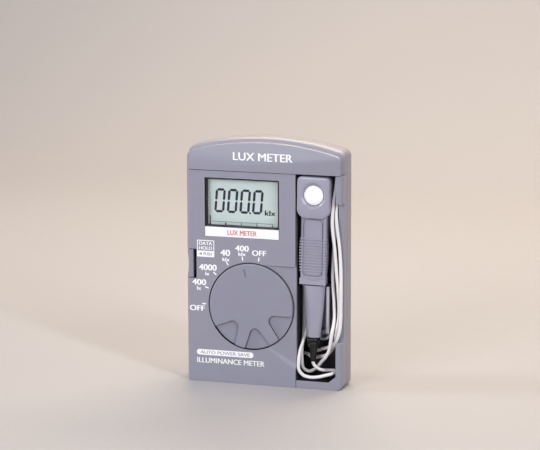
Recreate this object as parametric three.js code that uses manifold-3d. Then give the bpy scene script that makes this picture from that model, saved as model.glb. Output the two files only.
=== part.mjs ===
// A pocket light meter: a flat hand-held case with a display, a range dial and a hold key on the
// left, and a deep bay on the right that stows the light probe with its cable wound round it.
// Millimetres, +Z up. The face looks along -Y. The origin is the middle of the bottom edge's footprint.
import * as THREE from "three";
import { mergeVertices } from "three/addons/utils/BufferGeometryUtils.js";
import Module from "manifold-3d";

const wasm = await Module();
wasm.setup();

// Driving dimensions
const WIDTH = 76;
const HEIGHT = 117;
const DEPTH = 18;
const WALL = 1.8; // shell thickness of the case
const GAP = 0.3; // between pieces that touch
const TOP_SAGITTA = 5.3; // how far the arched top falls to either side
const TOP_CORNER = 4;
const FOOT_CORNER = 2.6;

const HALF_WIDTH = WIDTH / 2;
const FRONT = -DEPTH / 2;
const BACK = DEPTH / 2;
const FACE = FRONT + 0.5; // the front case's face, which the header stands proud of
const FACE_THICKNESS = 2;
const SPLIT = 0; // the plane where the front and rear halves meet
const SIDE_ROUND = 2.2; // rounding of the upright front edges
const EDGE_ROUND = 1.7; // rounding of the rear and top edges

// The header: the plate across the top of the face
const HEADER_BOTTOM = 101.4;
const HEADER_BACK = FRONT + 3.4;
const HEADER_DROP = 1.7; // its arch lies this far below the case's
const HEADER_INSET = 0.6; // and its ends this far inside the case's sides

// The bay on the right
const BAY_LEFT = 15.8;
const BAY_RIGHT = 35.1;
const BAY_BOTTOM = 3.6;
const BAY_TOP = 107.6;
const BAY_FLOOR = 5.6;
const BAY_CHAMFER = 3.4;
const TRAY_WALL = 1.0;
const TAB_BOTTOM = 88;
const BLOCK_TOP = 22.4;
const LOW_WALL_FRONT = FRONT + 5.2; // front edge of the side wall between the tab and the block

// The display
const WINDOW = { left: -28.7, right: 7.7, bottom: 74.7, top: 97.8 };
const STRIP_BOTTOM = 69.9;
const LCD_FRONT = -4.6;

// The range dial
const DIAL = { x: -6.2, z: 37.5, radius: 20.4 };
const DIAL_FRONT = FRONT + 0.1;
const DIAL_HOLE = DIAL.radius + 0.5;
const DETENT_STEP = THREE.MathUtils.degToRad(20);
const INDEX_ANGLE = THREE.MathUtils.degToRad(100); // the dial rests on its fifth position
const POCKET_STEP = THREE.MathUtils.degToRad(51);
const HUB_RADIUS = 3;

// The thumb recess beside the dial: a ramp that deepens towards the bay, and whose lower side leans and slopes
const RECESS = {
  top: 57.5,
  foot: 8.7, // where the lower side meets the bay
  lean: THREE.MathUtils.degToRad(33.5),
  slope: THREE.MathUtils.degToRad(53.5),
  nearDepth: 0.15,
  farDepth: 1.55,
};

// The hold key on the left edge
const KEY = { bottom: 49.8, top: 63.2, right: -34.7 };
const KEY_SLOT = -33;
const KEY_MIDDLE = (KEY.bottom + KEY.top) / 2;
const SCOOP = { x: -68.9, radius: 31.6 }; // the hollow in the edge for the thumb, over the key and the case

// The main board
const BOARD_FRONT = -1.2;
const BOARD_BACK = 0;

// The button cells and their cover, at the back
const CELL_RADIUS = 5.8;
const CELL_THICKNESS = 5.4;
const CELL_Z = 17.5;
const CELL_XS = [-24.2, -11.2];
const WELL = { left: -31.6, right: -3.8, bottom: 8.5, top: 26.5 };

// The probe, in its bay: the head's middle, and how far the whole probe leans
const PROBE = { x: 24.2, z: 90.6 };
const PROBE_LEAN = THREE.MathUtils.degToRad(1);
const HEAD = { halfWidth: 7.9, halfHeight: 9.8, front: FRONT + 0.3, back: 0.3 };
const STEM = { halfWidth: 6.2, top: -9.8, bottom: -41.2, front: FRONT + 1.9, back: 0.1 };
const BARREL = { top: -41.4, bottom: -66.8, topRadius: 5.15, bottomRadius: 3.3, flatten: 0.75 };
const BARREL_Y = (STEM.front + STEM.back) / 2;
const RELIEF_END = -78.4;
const DIFFUSER = { radius: 4.7, z: 1.1 };

// The cable, and the grommet in the bay's left wall that it goes back in through
const GROMMET = { y: 2.2, z: 14.6 };
const CABLE_DIAMETER = 1.6;
const CABLE_STEPS = 80;

// Materials
const plastic = (color, roughness = 0.55) =>
  new THREE.MeshStandardMaterial({ color, roughness, metalness: 0 });
const metal = (color, roughness = 0.35) =>
  new THREE.MeshStandardMaterial({ color, roughness, metalness: 1 });
const caseGrey = plastic(0x9493a3);
const rearGrey = plastic(0x8f8e99);
const keyGrey = plastic(0x83828f);
const black = plastic(0x141416, 0.4);
const white = plastic(0xf2f0ee, 0.45);
const cableGrey = plastic(0xe6e3e4, 0.5);
const clear = new THREE.MeshPhysicalMaterial({ color: 0xffffff, roughness: 0.05, transmission: 0.9 });
const lcdGreen = plastic(0xbfcdc6, 0.25);
const boardGreen = plastic(0x1f5a3a, 0.5);
const acetal = plastic(0xe4e0d4, 0.5);
const rubber = plastic(0x2a2a2c, 0.8);
const steel = metal(0xb8bbc0);
const brass = metal(0xc9a24d);
const silicon = plastic(0x20242c, 0.2);
const filterGreen = plastic(0x7fae8c, 0.15);

const meter = new THREE.Group();
const probe = new THREE.Group();
probe.position.set(PROBE.x, 0, PROBE.z);
probe.rotation.y = PROBE_LEAN;
meter.add(probe);

// Solids

function solid(geometry) {
  const bare = geometry.index ? geometry : mergeVertices(geometry);
  bare.deleteAttribute("normal");
  bare.deleteAttribute("uv");
  const merged = mergeVertices(bare, 1e-4);
  return new wasm.Manifold(
    new wasm.Mesh({
      numProp: 3,
      vertProperties: merged.attributes.position.array,
      triVerts: new Uint32Array(merged.index.array),
    }),
  );
}

function add(name, body, material, parent = meter) {
  const mesh = body.getMesh();
  const geometry = new THREE.BufferGeometry();
  geometry.setAttribute("position", new THREE.BufferAttribute(mesh.vertProperties, 3));
  geometry.setIndex(new THREE.BufferAttribute(mesh.triVerts, 1));
  const made = new THREE.Mesh(geometry, material);
  made.name = name;
  parent.add(made);
}

function box(x0, x1, y0, y1, z0, z1) {
  const geometry = new THREE.BoxGeometry(x1 - x0, y1 - y0, z1 - z0);
  return solid(geometry.translate((x0 + x1) / 2, (y0 + y1) / 2, (z0 + z1) / 2));
}

// An outline drawn in X and Z, from y0 to y1, with its edges rounded by round at both ends.
function slab(shape, y0, y1, { round = 0, segments = 2, curveSegments = 8 } = {}) {
  const geometry = new THREE.ExtrudeGeometry(shape, {
    depth: y1 - y0 - 2 * round,
    bevelEnabled: round > 0,
    bevelThickness: round,
    bevelSize: round,
    bevelOffset: -round,
    bevelSegments: segments,
    curveSegments,
  });
  return solid(geometry.rotateX(Math.PI / 2).translate(0, y1 - round, 0));
}

// An outline drawn in X and Y, from z0 to z1.
function prism(shape, z0, z1, curveSegments = 6) {
  const geometry = new THREE.ExtrudeGeometry(shape, {
    depth: z1 - z0,
    bevelEnabled: false,
    curveSegments,
  });
  return solid(geometry.translate(0, 0, z0));
}

function rectangle(x0, x1, z0, z1, radius = 0) {
  const shape = new THREE.Shape();
  if (radius === 0) {
    shape.moveTo(x0, z0).lineTo(x1, z0).lineTo(x1, z1).lineTo(x0, z1).closePath();
    return shape;
  }
  shape.moveTo(x0 + radius, z0);
  shape.lineTo(x1 - radius, z0);
  shape.absarc(x1 - radius, z0 + radius, radius, -Math.PI / 2, 0);
  shape.lineTo(x1, z1 - radius);
  shape.absarc(x1 - radius, z1 - radius, radius, 0, Math.PI / 2);
  shape.lineTo(x0 + radius, z1);
  shape.absarc(x0 + radius, z1 - radius, radius, Math.PI / 2, Math.PI);
  shape.lineTo(x0, z0 + radius);
  shape.absarc(x0 + radius, z0 + radius, radius, Math.PI, 1.5 * Math.PI);
  return shape;
}

// A round rod along Y.
function rod(x, z, radius, y0, y1, segments = 24) {
  const geometry = new THREE.CylinderGeometry(radius, radius, y1 - y0, segments);
  return solid(geometry.translate(x, (y0 + y1) / 2, z));
}

// CylinderGeometry stands along Y already, so its middle goes straight to (x, z).
function ring(x, z, outer, inner, y0, y1, segments = 24) {
  return rod(x, z, outer, y0, y1, segments).subtract(rod(x, z, inner, y0 - 1, y1 + 1, segments));
}

// A round rod along X.
function pin(x0, x1, y, z, radius, segments = 12) {
  const geometry = new THREE.CylinderGeometry(radius, radius, x1 - x0, segments);
  return solid(geometry.rotateZ(Math.PI / 2).translate((x0 + x1) / 2, y, z));
}

function ball(x, y, z, radius) {
  return solid(new THREE.SphereGeometry(radius, 12, 6).translate(x, y, z));
}

function shaftOf(profile, segments = 32) {
  const points = profile.map(([radius, height]) => new THREE.Vector2(radius, height));
  return new THREE.LatheGeometry(points, segments);
}

// The case's outline seen from the front: straight sides, rounded feet and an arched top.
function caseOutline(inset = 0, drop = 0) {
  const w = HALF_WIDTH - inset;
  const low = Math.min(inset, WALL);
  const foot = Math.max(FOOT_CORNER - low, 0.6);
  const corner = Math.max(TOP_CORNER - inset, 1);
  const run = HALF_WIDTH - 1;
  const arch = (run ** 2 + TOP_SAGITTA ** 2) / (2 * TOP_SAGITTA) - drop;
  const archZ = HEIGHT - drop - arch;
  const cornerZ = archZ + Math.sqrt((arch - corner) ** 2 - (w - corner) ** 2);
  const turn = Math.atan2(cornerZ - archZ, w - corner);
  const shape = new THREE.Shape();
  shape.moveTo(-w + foot, low);
  shape.lineTo(w - foot, low);
  shape.absarc(w - foot, low + foot, foot, -Math.PI / 2, 0);
  shape.lineTo(w, cornerZ);
  shape.absarc(w - corner, cornerZ, corner, 0, turn);
  shape.absarc(0, archZ, arch, turn, Math.PI - turn);
  shape.absarc(-w + corner, cornerZ, corner, Math.PI - turn, Math.PI);
  shape.lineTo(-w, low + foot);
  shape.absarc(-w + foot, low + foot, foot, Math.PI, 1.5 * Math.PI);
  return shape;
}

// The case's section seen from above, with its upright front edges rounded.
function plan() {
  const shape = new THREE.Shape();
  const r = SIDE_ROUND;
  shape.moveTo(-HALF_WIDTH + r, FACE);
  shape.lineTo(HALF_WIDTH - r, FACE);
  shape.absarc(HALF_WIDTH - r, FACE + r, r, -Math.PI / 2, 0);
  shape.lineTo(HALF_WIDTH, BACK + 1);
  shape.lineTo(-HALF_WIDTH, BACK + 1);
  shape.lineTo(-HALF_WIDTH, FACE + r);
  shape.absarc(-HALF_WIDTH + r, FACE + r, r, Math.PI, 1.5 * Math.PI);
  return prism(shape, -1, HEIGHT + 1);
}

const outerFrame = slab(caseOutline(), HEADER_BACK + 0.1, BACK, { round: EDGE_ROUND });
const outerFace = slab(caseOutline(), FACE, SPLIT - GAP / 2).intersect(plan());
const innerHollow = slab(caseOutline(WALL, WALL), FACE + FACE_THICKNESS, BACK - WALL);

const polar = (angle, radius) => [
  DIAL.x + radius * Math.cos(angle),
  DIAL.z + radius * Math.sin(angle),
];

// Screws and the bosses that they go through
const CASE_SCREWS = [
  [-33, 6.5],
  [-33, 104.5],
  [11.6, 6.5],
  [11.4, 104.5],
];
const BOARD_SCREWS = [
  [-31.6, 67.5],
  [11.4, 67.5],
];

function thumbRecess() {
  const ramp = new THREE.Shape();
  ramp.moveTo(DIAL.x, FACE - 1);
  ramp.lineTo(BAY_LEFT + 1, FACE - 1);
  ramp.lineTo(BAY_LEFT + 1, FACE + RECESS.farDepth);
  ramp.lineTo(DIAL.x, FACE + RECESS.nearDepth);
  ramp.closePath();
  const aboveSlope = new THREE.BoxGeometry(120, 200, 200).translate(0, 0, 100);
  aboveSlope.rotateX(RECESS.slope).rotateY(RECESS.lean).translate(BAY_LEFT, FACE, RECESS.foot);
  return prism(ramp, 0, RECESS.top).intersect(solid(aboveSlope));
}

function frontCase() {
  const split = SPLIT - GAP / 2;
  const left = outerFace.intersect(box(-50, BAY_LEFT - 0.1, FACE - 1, 9, -1, HEADER_BOTTOM - 0.2));
  const arm = outerFrame.intersect(box(-50, 50, FRONT, split, HEADER_BOTTOM, 130));
  const topWall = box(-37, 15, FACE + 0.6, HEADER_BACK + 1, HEADER_BOTTOM - 1.7, HEADER_BOTTOM - 0.2).add(
    box(-37, 15, HEADER_BACK + 0.3, HEADER_BACK + 1, HEADER_BOTTOM - 1.7, HEADER_BOTTOM + 1),
  );
  let body = left.add(arm).add(topWall);
  const lowerHollow = innerHollow.intersect(box(-50, 50, -20, 20, -1, HEADER_BOTTOM - 1.7));
  const armPlate = HEADER_BACK + 0.1 + WALL;
  const upperHollow = innerHollow.intersect(box(-50, 50, armPlate, 20, HEADER_BOTTOM - 1.8, 130));
  body = body.subtract(lowerHollow).subtract(upperHollow);
  for (const [x, z] of CASE_SCREWS) {
    const front = z > 100 ? armPlate - 0.2 : FACE + 1;
    body = body.add(rod(x, z, 2.6, front, split, 14)).subtract(rod(x, z, 0.8, -4, 1, 12));
  }
  for (const [x, z] of BOARD_SCREWS) {
    const boss = rod(x, z, 2.1, FACE + 1, BOARD_FRONT - 0.1, 16);
    body = body.add(boss).subtract(rod(x, z, 0.7, -4.5, 1, 12));
  }
  const { left: l, right: r, bottom: b, top: t } = WINDOW;
  body = body.subtract(box(l, r, -10, -6, b, t));
  body = body.subtract(box(l, r, -10, FACE + 0.4, STRIP_BOTTOM, b + 0.1));
  body = body.subtract(thumbRecess());
  body = body.subtract(rod(DIAL.x, DIAL.z, DIAL_HOLE, -10, -6, 64));
  body = body.subtract(box(-40, KEY_SLOT, -10, 1, KEY.bottom - GAP, KEY.top + GAP));
  return body.subtract(rod(SCOOP.x, KEY_MIDDLE, SCOOP.radius, -10, 1, 96));
}

function headerPanel() {
  const panel = slab(caseOutline(HEADER_INSET, HEADER_DROP), FRONT, HEADER_BACK, { round: 0.7 });
  return panel.intersect(box(-50, 50, -20, 20, HEADER_BOTTOM, 130));
}

// The tray that forms the bay, with the side wall's tab, its low middle and the block at the foot.
function bayTray() {
  const split = SPLIT - GAP / 2;
  const wallLeft = BAY_LEFT - TRAY_WALL;
  const inner = HALF_WIDTH - WALL - GAP;
  const behindFace = FACE + FACE_THICKNESS + GAP;
  const front = outerFace.intersect(box(BAY_LEFT + 0.1, 50, -20, 20, -1, HEADER_BOTTOM - 0.2));
  const rear = box(wallLeft, inner, split - 0.1, BAY_FLOOR + 1.2, WALL + GAP, BAY_TOP + 1.2);
  const leftWall = box(wallLeft, BAY_LEFT + 0.4, behindFace, split, WALL + GAP, HEADER_BOTTOM - 2);
  const underArm = HEADER_BACK + 0.1 + WALL + GAP;
  const top = box(wallLeft, inner, underArm, split, HEADER_BOTTOM - 2.1, BAY_TOP + 1);
  const mouth = new THREE.Shape();
  mouth.moveTo(BAY_LEFT, BAY_BOTTOM);
  mouth.lineTo(BAY_RIGHT - BAY_CHAMFER, BAY_BOTTOM);
  mouth.lineTo(BAY_RIGHT, BAY_BOTTOM + BAY_CHAMFER * 0.85);
  mouth.lineTo(BAY_RIGHT, BAY_TOP);
  mouth.lineTo(BAY_LEFT, BAY_TOP);
  mouth.closePath();
  const lowWall = box(BAY_RIGHT - 1, 40, -20, LOW_WALL_FRONT, BLOCK_TOP, TAB_BOTTOM);
  const cableHole = pin(wallLeft - 1, BAY_LEFT + 1, GROMMET.y, GROMMET.z, 2.6, 20);
  return front
    .add(rear)
    .add(leftWall)
    .add(top)
    .subtract(slab(mouth, -20, BAY_FLOOR))
    .subtract(lowWall)
    .subtract(cableHole);
}

function rearCase() {
  const half = outerFrame.intersect(box(-50, 50, SPLIT + GAP / 2, 20, -1, 130));
  const hollow = slab(caseOutline(WALL, WALL), -20, BACK - WALL);
  const { left, right, bottom, top } = WELL;
  const rim = box(left - 1.2, right + 1.2, 3.4, BACK - 1, bottom - 1.2, top + 1.2);
  let body = half.subtract(hollow);
  body = body.add(rim).subtract(box(left, right, -1, 20, bottom, top));
  for (const [x, z] of CASE_SCREWS) {
    const post = rod(x, z, 2.8, SPLIT + GAP / 2, BACK - 1, 16);
    body = body.add(post).subtract(rod(x, z, 1.25, -1, 20, 12));
    body = body.subtract(rod(x, z, 2.3, BACK - 3.4, 20, 16));
  }
  return body;
}


// Display

function labelStrip() {
  const { left, right, bottom } = WINDOW;
  return box(left + 0.15, right - 0.15, FACE, FACE + 0.25, STRIP_BOTTOM + 0.15, bottom - 0.15);
}

function windowLens() {
  const { left, right, bottom, top } = WINDOW;
  return box(left + 0.15, right - 0.15, FACE + 0.3, FACE + 1.2, bottom + 0.15, top - 0.15);
}

// The black holder that presses the display against the board through the zebra strip.
function lcdHolder() {
  const { left, right, bottom, top } = WINDOW;
  const outer = box(left - 3.4, right + 3.4, FACE + FACE_THICKNESS + 0.2, -2.4, bottom - 3.6, top + 1);
  const sight = box(left + 0.5, right - 0.5, -20, 0, bottom + 0.5, top - 0.5);
  const seat = box(left - 2, right + 2, LCD_FRONT - 0.2, 0, bottom - 2.6, top + 0.1);
  return outer.subtract(sight).subtract(seat);
}

function lcdGlass() {
  const { left, right, bottom, top } = WINDOW;
  return box(left - 1.8, right + 1.8, LCD_FRONT, LCD_FRONT + 1.1, bottom - 2.4, top - 0.1);
}

function lcdReflector() {
  const { left, right, bottom, top } = WINDOW;
  return box(left - 1.8, right + 1.8, LCD_FRONT + 1.25, LCD_FRONT + 1.5, bottom + 1.4, top - 0.1);
}

function zebraStrip() {
  const { left, right, bottom } = WINDOW;
  return box(left, right, LCD_FRONT + 1.25, BOARD_FRONT - 0.15, bottom - 2.2, bottom - 0.2);
}

// Board

function mainBoard() {
  let board = slab(rectangle(-35.8, 14.3, 2.6, 99.2, 1), BOARD_FRONT, BOARD_BACK);
  board = board.subtract(rod(DIAL.x, DIAL.z, HUB_RADIUS + 0.4, -5, 5, 24));
  for (const [x, z] of CASE_SCREWS) {
    const [x0, x1] = x < 0 ? [-40, x + 3.2] : [x - 3.2, 20];
    const [z0, z1] = z < 50 ? [0, z + 3.2] : [z - 6, 110];
    board = board.subtract(box(x0, x1, -5, 5, z0, z1));
  }
  for (const [x, z] of BOARD_SCREWS) board = board.subtract(rod(x, z, 1.1, -5, 5, 12));
  return board.subtract(box(-40, KEY.right + 1.4, -5, 5, KEY.bottom - 1, KEY.top + 1));
}

function meterChip() {
  return box(-20, -6, BOARD_BACK + 0.2, BOARD_BACK + 2.2, 78, 92);
}

function crystal() {
  return slab(rectangle(-2, 4, 82, 84.6, 1.2), BOARD_BACK + 0.2, BOARD_BACK + 3.4, { curveSegments: 5 });
}

function capacitor(x, z) {
  return rod(x, z, 2.2, BOARD_BACK + 0.2, BOARD_BACK + 5.4, 20);
}

function trimmer() {
  const body = box(-29, -24, BOARD_BACK + 0.2, BOARD_BACK + 3, 84, 89);
  return body.subtract(box(-28, -25, BOARD_BACK + 2.5, 5, 86.2, 86.8));
}

// Screws lie along Y. The head is at the back end, with a cross recess.
function screw(x, z, tip, head, { shank = 0.65, radius = 1.8, height = 1.1 } = {}) {
  const cross = box(x - 1, x + 1, head - 0.6, head + 1, z - 0.22, z + 0.22).add(
    box(x - 0.22, x + 0.22, head - 0.6, head + 1, z - 1, z + 1),
  );
  const body = rod(x, z, shank, tip, head - height + 0.1, 8);
  return body.add(rod(x, z, radius, head - height, head, 16)).subtract(cross);
}

// Hold key

function holdKey() {
  const cap = box(-HALF_WIDTH + 0.5, KEY.right, FACE + 0.3, SPLIT - 0.6, KEY.bottom, KEY.top);
  const scoop = rod(SCOOP.x, KEY_MIDDLE, SCOOP.radius + GAP, -10, 1, 96);
  const stem = box(KEY.right - 0.5, KEY.right + 1.2, -3.8, -1.6, KEY_MIDDLE - 2, KEY_MIDDLE + 2);
  return cap.subtract(scoop).add(stem);
}

function holdSwitch() {
  const body = box(-31.2, -27.4, -4.6, BOARD_FRONT - 0.1, KEY_MIDDLE - 3, KEY_MIDDLE + 3);
  return body.subtract(pin(-32, -29.8, -2.8, KEY_MIDDLE, 1, 16));
}

function holdPlunger() {
  return pin(KEY.right + 1.5, -30.9, -2.8, KEY_MIDDLE, 0.8, 16);
}

// Dial

// A finger pocket: a round-nosed wedge that opens to the rim.
function fingerPocket(angle) {
  const half = THREE.MathUtils.degToRad(19.2);
  const nose = 2.9;
  const noseAt = 13.4;
  const rim = DIAL.radius + 1.5;
  const lean = 0.33;
  const shape = new THREE.Shape();
  shape.moveTo(rim * Math.cos(half), rim * Math.sin(half));
  shape.lineTo(rim * Math.cos(half), -rim * Math.sin(half));
  shape.absarc(noseAt, 0, nose, -Math.PI / 2 - lean, Math.PI / 2 + lean, true);
  shape.closePath();
  const wedge = new THREE.ExtrudeGeometry(shape, { depth: 2.2, bevelEnabled: false, curveSegments: 14 });
  wedge.rotateZ(angle).rotateX(Math.PI / 2);
  return solid(wedge.translate(DIAL.x, DIAL_FRONT + 1.2, DIAL.z));
}

function rangeDial() {
  const chamfer = 0.4;
  const profile = shaftOf(
    [
      [0, 0],
      [DIAL.radius - chamfer, 0],
      [DIAL.radius, chamfer],
      [DIAL.radius, 3.2],
      [HUB_RADIUS, 3.2],
      [HUB_RADIUS, 9.2],
      [HUB_RADIUS - 0.5, 9.2],
      [HUB_RADIUS - 0.5, 9.9],
      [HUB_RADIUS, 9.9],
      [HUB_RADIUS - 0.3, 10.5],
      [0, 10.5],
    ],
    56,
  );
  let dial = solid(profile.translate(DIAL.x, DIAL_FRONT, DIAL.z));
  for (const side of [-1, 0, 1]) {
    dial = dial.subtract(fingerPocket(INDEX_ANGLE + Math.PI + side * POCKET_STEP));
  }
  const mark = new THREE.BoxGeometry(3.6, 0.8, 0.7).translate(DIAL.radius - 4.4, 0, 0);
  mark.rotateY(-INDEX_ANGLE).translate(DIAL.x, DIAL_FRONT, DIAL.z);
  return dial.subtract(solid(mark));
}

// The rotor carries the wipers on its back and the two detent balls in its rim.
const ROTOR = { radius: 17.6, front: DIAL_FRONT + 3.5, back: -2.9 };
const BALL = { radius: 1.1, at: 17.7, y: (ROTOR.front + ROTOR.back) / 2 };

function contactRotor() {
  let rotor = ring(DIAL.x, DIAL.z, ROTOR.radius, HUB_RADIUS + GAP, ROTOR.front, ROTOR.back, 40);
  rotor = rotor.subtract(pin(DIAL.x - 20, DIAL.x - 9, BALL.y, DIAL.z, 0.9));
  rotor = rotor.subtract(pin(DIAL.x + 9, DIAL.x + 20, BALL.y, DIAL.z, 0.9));
  rotor = rotor.subtract(pin(DIAL.x - 20, DIAL.x - 16.2, BALL.y, DIAL.z, 1.35));
  return rotor.subtract(pin(DIAL.x + 16.2, DIAL.x + 20, BALL.y, DIAL.z, 1.35));
}

// Each detent spring is a plain sleeve in its bore: its coil is finer than the bore needs.
function detentSpring(side) {
  const near = DIAL.x + side * 9.4;
  const far = DIAL.x + side * 15.9;
  return pin(Math.min(near, far), Math.max(near, far), BALL.y, DIAL.z, 0.7);
}

// A ring of shallow notches, one to each range step, that the balls click into.
function detentRing() {
  const notches = Math.round((2 * Math.PI) / DETENT_STEP);
  const shape = new THREE.Shape();
  shape.absarc(DIAL.x, DIAL.z, 20.6, 0, 2 * Math.PI);
  const hole = new THREE.Path();
  for (let i = 0; i < notches * 4; i++) {
    const angle = (i * DETENT_STEP) / 4;
    const [x, z] = polar(angle, 19.2 + 0.4 * Math.cos(notches * angle));
    if (i === 0) hole.moveTo(x, z);
    else hole.lineTo(x, z);
  }
  hole.closePath();
  shape.holes.push(hole);
  return slab(shape, ROTOR.front + 0.1, ROTOR.back, { curveSegments: 36 });
}

// A thin contact arm between the rotor and the board.
function wiper(angle) {
  const arm = new THREE.BoxGeometry(7, 0.3, 2.2).translate(9.5, 0, 0);
  const dome = new THREE.CylinderGeometry(0.9, 0.9, 0.9, 12).translate(12.4, 0.5, 0);
  const turn = (g) => solid(g.rotateY(-angle).translate(DIAL.x, ROTOR.back + 0.3, DIAL.z));
  return turn(arm).add(turn(dome));
}

function dialClip() {
  const clip = ring(DIAL.x, DIAL.z, 4.8, HUB_RADIUS - 0.3, 0.45, 0.85, 24);
  return clip.subtract(box(DIAL.x - 1.8, DIAL.x + 1.8, 0, 2, DIAL.z - 8, DIAL.z));
}

// Battery

const CELL_FRONT = 1.5;

function cell(x) {
  const low = rod(x, CELL_Z, CELL_RADIUS, CELL_FRONT + 0.5, CELL_FRONT + CELL_THICKNESS);
  return low.add(rod(x, CELL_Z, CELL_RADIUS - 0.9, CELL_FRONT, CELL_FRONT + 0.6));
}

function springContact(x) {
  const foot = box(x - 2.5, x + 2.5, BOARD_BACK + 0.2, BOARD_BACK + 0.5, CELL_Z - 3, CELL_Z + 3);
  return foot.add(rod(x, CELL_Z, 1.6, BOARD_BACK + 0.4, CELL_FRONT - 0.2, 16));
}

function cellLink() {
  const y = CELL_FRONT + CELL_THICKNESS + 0.15;
  return box(CELL_XS[0] - 3, CELL_XS[1] + 3, y, y + 0.3, CELL_Z - 2.5, CELL_Z + 2.5);
}

function batteryCover() {
  const { left, right, bottom, top } = WELL;
  const shape = rectangle(left + GAP, right - GAP, bottom + GAP, top - GAP, 0.8);
  let cover = slab(shape, BACK - 1.5, BACK);
  const middle = (left + right) / 2;
  cover = cover.subtract(box(middle - 5, middle + 5, BACK - 0.5, BACK + 1, bottom + 1.5, bottom + 3));
  for (const x of [left + 1.2, right - 1.2]) {
    const hook = box(x - 0.5, x + 0.5, BACK - 3.6, BACK - 1.4, top - 4, top - 2);
    cover = cover.add(hook);
  }
  return cover;
}

// Bay

function grommet() {
  const sleeve = pin(BAY_LEFT - TRAY_WALL - 0.3, BAY_LEFT + 0.9, GROMMET.y, GROMMET.z, 2.3, 20);
  const flange = pin(BAY_LEFT + 0.3, BAY_LEFT + 1.1, GROMMET.y, GROMMET.z, 3.1, 20);
  const bore = pin(BAY_LEFT - 4, BAY_LEFT + 4, GROMMET.y, GROMMET.z, 1.05, 12);
  return sleeve.add(flange).subtract(bore);
}

// The cradle that the barrel rests in: a back plate with a tall rib, a low rib and a round cup.
const CRADLE = { bottom: 20, top: 48, left: 19.4, right: 30.4, back: BAY_FLOOR - 0.2 };

function probeCradle() {
  const { bottom, top, left, right, back } = CRADLE;
  const cup = bottom + 5.6;
  const plate = box(left, right, back - 1, back, bottom + 3, top);
  const tallRib = box(right - 1.5, right, -2.6, back, cup, top);
  const lowRib = box(right - 3.4, right - 2.4, 1.2, back, cup, top - 1);
  const ledge = box(left + 1, right, 1.6, back, cup - 1, cup + 0.6);
  const middle = (left + right) / 2 + 1.2;
  const halfCup = (right - left) / 2 - 1.2;
  const bowl = ring(middle, cup, halfCup, halfCup - 1.2, 1.6, back, 28);
  return plate.add(tallRib).add(lowRib).add(ledge).add(bowl.subtract(box(0, 50, -9, 9, cup, 60)));
}

// Probe. Its pieces are placed from the head's middle, and the whole probe leans in the bay.

function headOutline(inset = 0) {
  const w = HEAD.halfWidth - inset;
  const h = HEAD.halfHeight - inset;
  const top = 2.2;
  const low = 4.4;
  const shape = new THREE.Shape();
  shape.moveTo(-w + low, -h);
  shape.lineTo(w - low, -h);
  shape.absarc(w - low, -h + low, low, -Math.PI / 2, 0);
  shape.lineTo(w, h - top);
  shape.absarc(w - top, h - top, top, 0, Math.PI / 2);
  shape.lineTo(-w + top, h);
  shape.absarc(-w + top, h - top, top, Math.PI / 2, Math.PI);
  shape.lineTo(-w, -h + low);
  shape.absarc(-w + low, -h + low, low, Math.PI, 1.5 * Math.PI);
  return shape;
}

const PROBE_SPLIT = -3.6;
const PROBE_SCREW_Z = -6.6;

// The head and the gripped stem, before they are split into a front and a back shell.
function probeBlank() {
  const { halfWidth, top, bottom, front, back } = STEM;
  const head = slab(headOutline(), HEAD.front, HEAD.back, { round: 0.8, curveSegments: 4 });
  const stemOutline = rectangle(-halfWidth, halfWidth, bottom, top + 2, 1);
  const stem = slab(stemOutline, front, back, { round: 0.9, curveSegments: 3 });
  const collar = box(-halfWidth - 0.15, halfWidth + 0.15, front - 0.1, back + 0.1, bottom, bottom + 3);
  return head.add(stem).add(collar);
}

function probeHollow() {
  const head = slab(headOutline(1.4), HEAD.front + 1.6, HEAD.back - 1.4, { curveSegments: 4 });
  const stem = box(-4.8, 4.8, STEM.front + 1.3, STEM.back - 1.3, STEM.bottom + 2, STEM.top + 2);
  const exit = solid(new THREE.CylinderGeometry(1.2, 1.2, 8, 16).rotateX(Math.PI / 2));
  return head.add(stem).add(exit.translate([0, BARREL_Y, STEM.bottom]));
}

function probeFrontShell() {
  const half = probeBlank().intersect(box(-20, 20, -20, PROBE_SPLIT - 0.1, -60, 20));
  const seat = DIFFUSER.radius + 0.2;
  const dish = new THREE.CylinderGeometry(seat, 6.1, 1, 40).translate(0, HEAD.front + 0.45, DIFFUSER.z);
  const pad = box(-4.7, 4.7, STEM.front - 1, STEM.front + 0.5, STEM.bottom + 4, STEM.top - 0.3);
  return half
    .subtract(probeHollow())
    .subtract(rod(0, DIFFUSER.z, seat, -20, PROBE_SPLIT, 40))
    .subtract(solid(dish))
    .subtract(pad);
}

function probeBackShell() {
  const half = probeBlank().intersect(box(-20, 20, PROBE_SPLIT + 0.1, 20, -60, 20));
  const z = PROBE_SCREW_Z;
  return half
    .subtract(probeHollow())
    .add(rod(0, z, 2.7, PROBE_SPLIT + 0.1, HEAD.back - 1, 20))
    .subtract(rod(0, z, 1, -20, 20, 12))
    .subtract(rod(0, z, 2.1, HEAD.back - 1.5, 20, 20));
}

// The pad under the fingers, with a row of fine ribs across its lower half.
function gripPad() {
  const top = STEM.top - 0.6;
  const bottom = STEM.bottom + 4.3;
  const front = STEM.front - 0.3;
  const outline = rectangle(-4.5, 4.5, bottom, top, 1.8);
  let pad = slab(outline, front, STEM.front + 0.35, { curveSegments: 5 });
  const pitch = 2.1;
  for (let z = bottom + 3.4; z < bottom + 16; z += pitch) {
    pad = pad.subtract(box(-6, 6, front - 1, front + 0.3, z, z + 0.4));
  }
  return pad;
}

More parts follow.
